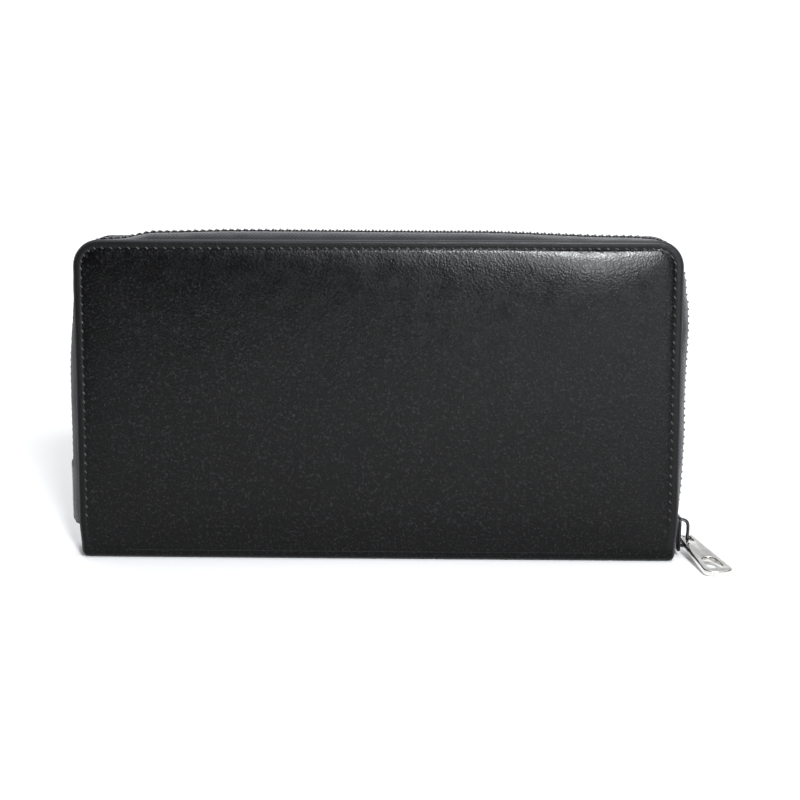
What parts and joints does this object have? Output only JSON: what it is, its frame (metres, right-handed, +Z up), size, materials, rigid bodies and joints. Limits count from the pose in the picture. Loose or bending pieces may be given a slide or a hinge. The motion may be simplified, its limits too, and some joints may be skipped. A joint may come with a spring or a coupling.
{
  "type": "long wallet",
  "caption": "Long zip-around leather wallet standing on its spine, with card pockets, a zipped coin pocket, folded gussets and a metal zip puller.",
  "frame": {"origin": "centre of the flat underside of the spine, on which the wallet stands", "axes": "+X along the length towards the slider's end, +Y through the thickness towards the front cover, +Z up from the spine to the top zip"},
  "size_m": [0.2146, 0.0438, 0.1073],
  "materials": {
    "outer_leather": "smooth fine-grained black leather, softly polished",
    "inner_leather": "smooth black leather, satin",
    "lining": "fine black twill lining",
    "board": "grey bookbinding board",
    "zip_tape": "black herringbone tape",
    "zip_metal": "black lacquered brass, semi-gloss",
    "dark_nickel": "dark nickel plate",
    "nickel": "polished nickel plate"
  },
  "bodies": {
    "spine": {"spine_cover": "outer_leather", "spine_board": "board", "spine_liner": "lining", "fold_back": "outer_leather", "fold_front": "outer_leather", "coin_floor": "inner_leather", "coin_wall_back": "inner_leather", "coin_wall_front": "inner_leather", "coin_end_left": "inner_leather", "coin_end_right": "inner_leather", "coin_tape_back": "zip_tape", "coin_tape_front": "zip_tape", "coin_teeth_back": "zip_metal", "coin_teeth_front": "zip_metal", "coin_stop_left": "zip_metal", "coin_stop_right": "zip_metal", "gusset_back_left": "inner_leather", "gusset_back_right": "inner_leather", "gusset_front_left": "inner_leather", "gusset_front_right": "inner_leather", "zip_end_tab": "outer_leather", "zip_start_stop": "zip_metal"},
    "back_half": {"cover_back": "outer_leather", "board_back": "board", "lining_back": "lining", "card_panel_back": "inner_leather", "card_tier_back_1": "inner_leather", "card_tier_back_2": "inner_leather", "card_tier_back_3": "inner_leather", "zip_tape_back": "zip_tape", "zip_teeth_back": "zip_metal", "zip_stop_back": "zip_metal"},
    "front_half": {"cover_front": "outer_leather", "board_front": "board", "lining_front": "lining", "card_panel_front": "inner_leather", "card_tier_front_1": "inner_leather", "card_tier_front_2": "inner_leather", "card_tier_front_3": "inner_leather", "zip_tape_front": "zip_tape", "zip_teeth_front": "zip_metal", "zip_stop_front": "zip_metal"},
    "zip_slider": {"slider_body": "zip_metal", "slider_bail": "dark_nickel"},
    "zip_puller": {"puller": "nickel"},
    "coin_slider": {"coin_slider_body": "dark_nickel", "coin_slider_bail": "dark_nickel"},
    "coin_puller": {"coin_puller": "nickel"}
  },
  "joints": [
    {"name": "back_half_open", "type": "hinge", "parent": "spine", "child": "back_half", "pos_m": [0, -0.0095, 0.0035], "axis": [1, 0, 0], "range_deg": [0, 35], "deforming": ["fold_back", "gusset_back_left", "gusset_back_right", "zip_end_tab", "zip_start_stop", "zip_teeth_back", "zip_teeth_front"]},
    {"name": "front_half_open", "type": "hinge", "parent": "spine", "child": "front_half", "pos_m": [0, 0.0095, 0.0035], "axis": [-1, 0, 0], "range_deg": [0, 35], "deforming": ["fold_front", "gusset_front_left", "gusset_front_right", "zip_end_tab", "zip_start_stop", "zip_teeth_back", "zip_teeth_front"]},
    {"name": "zip_slide", "type": "slide", "parent": "front_half", "child": "zip_slider", "axis": [0.0358, 0, 0.9994], "range_m": [0, 0.06], "deforming": ["zip_teeth_back", "zip_teeth_front"]},
    {"name": "puller_swing", "type": "hinge", "parent": "zip_slider", "child": "zip_puller", "pos_m": [0.10115, 0, 0.0046], "axis": [-0.9801, -0.1987, 0], "range_deg": [0, 26]},
    {"name": "coin_zip_slide", "type": "slide", "parent": "spine", "child": "coin_slider", "axis": [-1, 0, 0], "range_m": [0, 0.148], "deforming": ["coin_teeth_back", "coin_teeth_front"]},
    {"name": "coin_puller_swing", "type": "hinge", "parent": "coin_slider", "child": "coin_puller", "pos_m": [0.076, 0, 0.0866], "axis": [0, 1, 0], "range_deg": [0, 160]}
  ]
}
